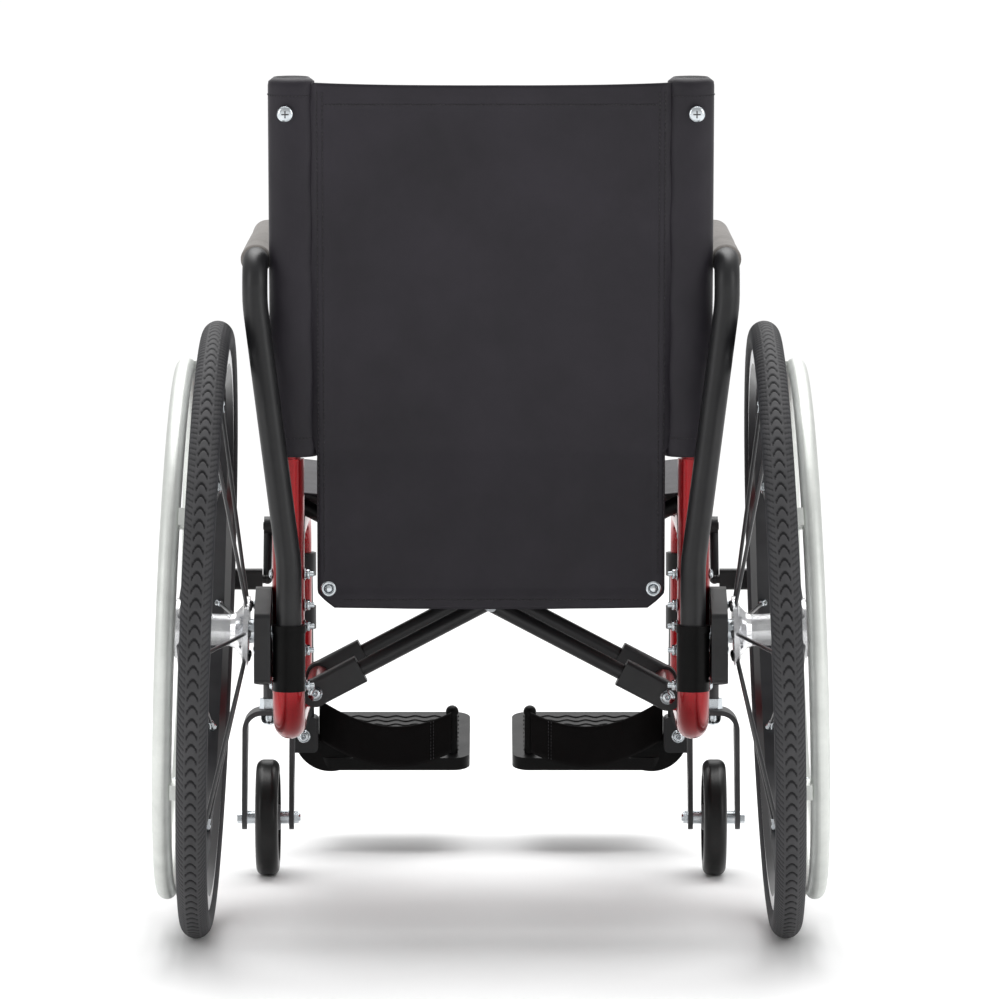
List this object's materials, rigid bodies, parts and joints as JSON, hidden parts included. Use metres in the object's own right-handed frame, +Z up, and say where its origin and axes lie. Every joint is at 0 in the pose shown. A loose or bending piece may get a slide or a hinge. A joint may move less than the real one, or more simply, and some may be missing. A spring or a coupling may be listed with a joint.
{
  "type": "manual wheelchair",
  "caption": "Folding manual wheelchair with sling back, cross brace, cambered rear wheels with push rings, swivel casters, swing-away armrests and flip-up footplates.",
  "frame": {"origin": "on the floor, below the middle of the chair's bounding box", "axes": "+Y forwards, +X to the chair's right, +Z up"},
  "size_m": [0.6578, 1.032, 0.8478],
  "materials": {
    "frame_paint": "glossy translucent red over aluminium",
    "black_metal": "satin black powder coat",
    "bright_steel": "zinc-plated fasteners",
    "polished_alloy": "turned and polished",
    "satin_alloy": "satin anodised",
    "rim_alloy": "black rim with machined bright edge",
    "black_spoke": "semi-gloss black",
    "tyre_rubber": "dark charcoal rubber",
    "caster_rubber": "matt black polyurethane",
    "caster_plastic": "moulded dark grey nylon",
    "fork_metal": "dark grey powder coat",
    "black_plastic": "moulded glass-filled nylon",
    "pad_foam": "taupe-grey foam sleeve",
    "nylon": "coated woven nylon",
    "webbing": "woven strap"
  },
  "bodies": {
    "left_frame": {"side_frame_left": "frame_paint", "back_cane_left": "frame_paint", "axle_plate_left": "black_metal", "frame_bolts_left": "bright_steel", "arm_receiver_left": "black_plastic", "rear_axle_left": "bright_steel", "caster_housing_left": "black_metal", "seat_saddles_left": "black_plastic", "lock_clamp_left": "black_metal", "back_upholstery": "nylon"},
    "right_frame": {"side_frame_right": "frame_paint", "back_cane_right": "frame_paint", "axle_plate_right": "black_metal", "frame_bolts_right": "bright_steel", "arm_receiver_right": "black_plastic", "rear_axle_right": "bright_steel", "caster_housing_right": "black_metal", "seat_saddles_right": "black_plastic", "lock_clamp_right": "black_metal"},
    "brace_left": {"cross_brace_left": "black_metal", "brace_bolts_left": "bright_steel", "seat_sling": "nylon"},
    "brace_right": {"cross_brace_right": "black_metal", "brace_bolt_right": "bright_steel"},
    "rear_wheel_left": {"hub_left": "polished_alloy", "spokes_left": "black_spoke", "rim_left": "rim_alloy", "tyre_left": "tyre_rubber", "handrim_left": "satin_alloy"},
    "release_button_left": {"release_button_left": "bright_steel"},
    "caster_fork_left": {"caster_fork_left": "fork_metal", "caster_bolts_left": "bright_steel"},
    "caster_wheel_left": {"caster_wheel_left": "caster_plastic", "caster_tyre_left": "caster_rubber"},
    "armrest_left": {"arm_tube_left": "black_metal", "arm_pad_left": "pad_foam"},
    "hanger_left": {"hanger_left": "black_metal", "footplate_hinge_bolt_left": "bright_steel"},
    "footplate_left": {"footplate_left": "black_plastic", "heel_loop_left": "webbing"},
    "lock_lever_left": {"lock_lever_left": "black_metal"},
    "lock_shoe_left": {"lock_shoe_left": "black_metal"},
    "rear_wheel_right": {"hub_right": "polished_alloy", "spokes_right": "black_spoke", "rim_right": "rim_alloy", "tyre_right": "tyre_rubber", "handrim_right": "satin_alloy"},
    "release_button_right": {"release_button_right": "bright_steel"},
    "caster_fork_right": {"caster_fork_right": "fork_metal", "caster_bolts_right": "bright_steel"},
    "caster_wheel_right": {"caster_wheel_right": "caster_plastic", "caster_tyre_right": "caster_rubber"},
    "armrest_right": {"arm_tube_right": "black_metal", "arm_pad_right": "pad_foam"},
    "hanger_right": {"hanger_right": "black_metal", "footplate_hinge_bolt_right": "bright_steel"},
    "footplate_right": {"footplate_right": "black_plastic", "heel_loop_right": "webbing"},
    "lock_lever_right": {"lock_lever_right": "black_metal"},
    "lock_shoe_right": {"lock_shoe_right": "black_metal"}
  },
  "joints": [
    {"name": "fold", "type": "hinge", "parent": "left_frame", "child": "brace_left", "pos_m": [-0.1775, -0.211, 0.225], "axis": [0, -1, 0], "range_deg": [0, 42], "deforming": ["back_upholstery", "seat_sling"]},
    {"name": "brace_cross", "type": "hinge", "parent": "brace_left", "child": "brace_right", "pos_m": [0, -0.211, 0.3181], "axis": [0, -1, 0], "range_deg": [-84, 0]},
    {"name": "right_frame_fold", "type": "hinge", "parent": "brace_right", "child": "right_frame", "pos_m": [0.1775, -0.211, 0.225], "axis": [0, -1, 0], "range_deg": [0, 42]},
    {"name": "wheel_spin_left", "type": "hinge", "parent": "left_frame", "child": "rear_wheel_left", "pos_m": [-0.28, -0.211, 0.3048], "axis": [-0.9993, 0, 0.0366], "continuous": true},
    {"name": "release_press_left", "type": "slide", "parent": "left_frame", "child": "release_button_left", "axis": [0.9993, 0, -0.0366], "range_m": [0, 0.003], "stiffness_N_per_m": 800, "springref_m": -0.002},
    {"name": "caster_swivel_left", "type": "hinge", "parent": "left_frame", "child": "caster_fork_left", "pos_m": [-0.235, 0.229, 0.172], "axis": [0, 0, 1], "continuous": true},
    {"name": "caster_spin_left", "type": "hinge", "parent": "caster_fork_left", "child": "caster_wheel_left", "pos_m": [-0.235, 0.194, 0.061], "axis": [1, 0, 0], "continuous": true},
    {"name": "arm_swing_left", "type": "hinge", "parent": "left_frame", "child": "armrest_left", "pos_m": [-0.199, -0.231, 0.256], "axis": [0, 0, 1], "range_deg": [0, 90]},
    {"name": "hanger_swing_left", "type": "hinge", "parent": "left_frame", "child": "hanger_left", "pos_m": [-0.201, 0.189, 0.274], "axis": [0, 0, 1], "range_deg": [0, 90]},
    {"name": "footplate_flip_left", "type": "hinge", "parent": "hanger_left", "child": "footplate_left", "pos_m": [-0.201, 0.379, 0.13], "axis": [0, -1, 0], "range_deg": [0, 101], "deforming": ["heel_loop_left"]},
    {"name": "lock_lever_left", "type": "hinge", "parent": "left_frame", "child": "lock_lever_left", "pos_m": [-0.225, 0.164, 0.388], "axis": [-1, 0, 0], "range_deg": [0, 50]},
    {"name": "lock_shoe_left", "type": "hinge", "parent": "left_frame", "child": "lock_shoe_left", "pos_m": [-0.232, 0.134, 0.375], "axis": [-1, 0, 0], "range_deg": [0, 10]},
    {"name": "wheel_spin_right", "type": "hinge", "parent": "right_frame", "child": "rear_wheel_right", "pos_m": [0.28, -0.211, 0.3048], "axis": [0.9993, 0, 0.0366], "continuous": true},
    {"name": "release_press_right", "type": "slide", "parent": "right_frame", "child": "release_button_right", "axis": [-0.9993, 0, -0.0366], "range_m": [0, 0.003], "stiffness_N_per_m": 800, "springref_m": -0.002},
    {"name": "caster_swivel_right", "type": "hinge", "parent": "right_frame", "child": "caster_fork_right", "pos_m": [0.235, 0.229, 0.172], "axis": [0, 0, 1], "continuous": true},
    {"name": "caster_spin_right", "type": "hinge", "parent": "caster_fork_right", "child": "caster_wheel_right", "pos_m": [0.235, 0.194, 0.061], "axis": [1, 0, 0], "continuous": true},
    {"name": "arm_swing_right", "type": "hinge", "parent": "right_frame", "child": "armrest_right", "pos_m": [0.199, -0.231, 0.256], "axis": [0, 0, -1], "range_deg": [0, 90]},
    {"name": "hanger_swing_right", "type": "hinge", "parent": "right_frame", "child": "hanger_right", "pos_m": [0.201, 0.189, 0.274], "axis": [0, 0, -1], "range_deg": [0, 90]},
    {"name": "footplate_flip_right", "type": "hinge", "parent": "hanger_right", "child": "footplate_right", "pos_m": [0.201, 0.379, 0.13], "axis": [0, 1, 0], "range_deg": [0, 101], "deforming": ["heel_loop_right"]},
    {"name": "lock_lever_right", "type": "hinge", "parent": "right_frame", "child": "lock_lever_right", "pos_m": [0.225, 0.164, 0.388], "axis": [-1, 0, 0], "range_deg": [0, 50]},
    {"name": "lock_shoe_right", "type": "hinge", "parent": "right_frame", "child": "lock_shoe_right", "pos_m": [0.232, 0.134, 0.375], "axis": [-1, 0, 0], "range_deg": [0, 10]}
  ],
  "couplings": [
    {"joint": "brace_cross", "follows": "fold", "ratio": -2},
    {"joint": "right_frame_fold", "follows": "fold", "ratio": 1},
    {"joint": "footplate_flip_left", "follows": "fold", "ratio": 2.4},
    {"joint": "lock_shoe_left", "follows": "lock_lever_left", "ratio": 0.2},
    {"joint": "footplate_flip_right", "follows": "fold", "ratio": 2.4},
    {"joint": "lock_shoe_right", "follows": "lock_lever_right", "ratio": 0.2}
  ]
}
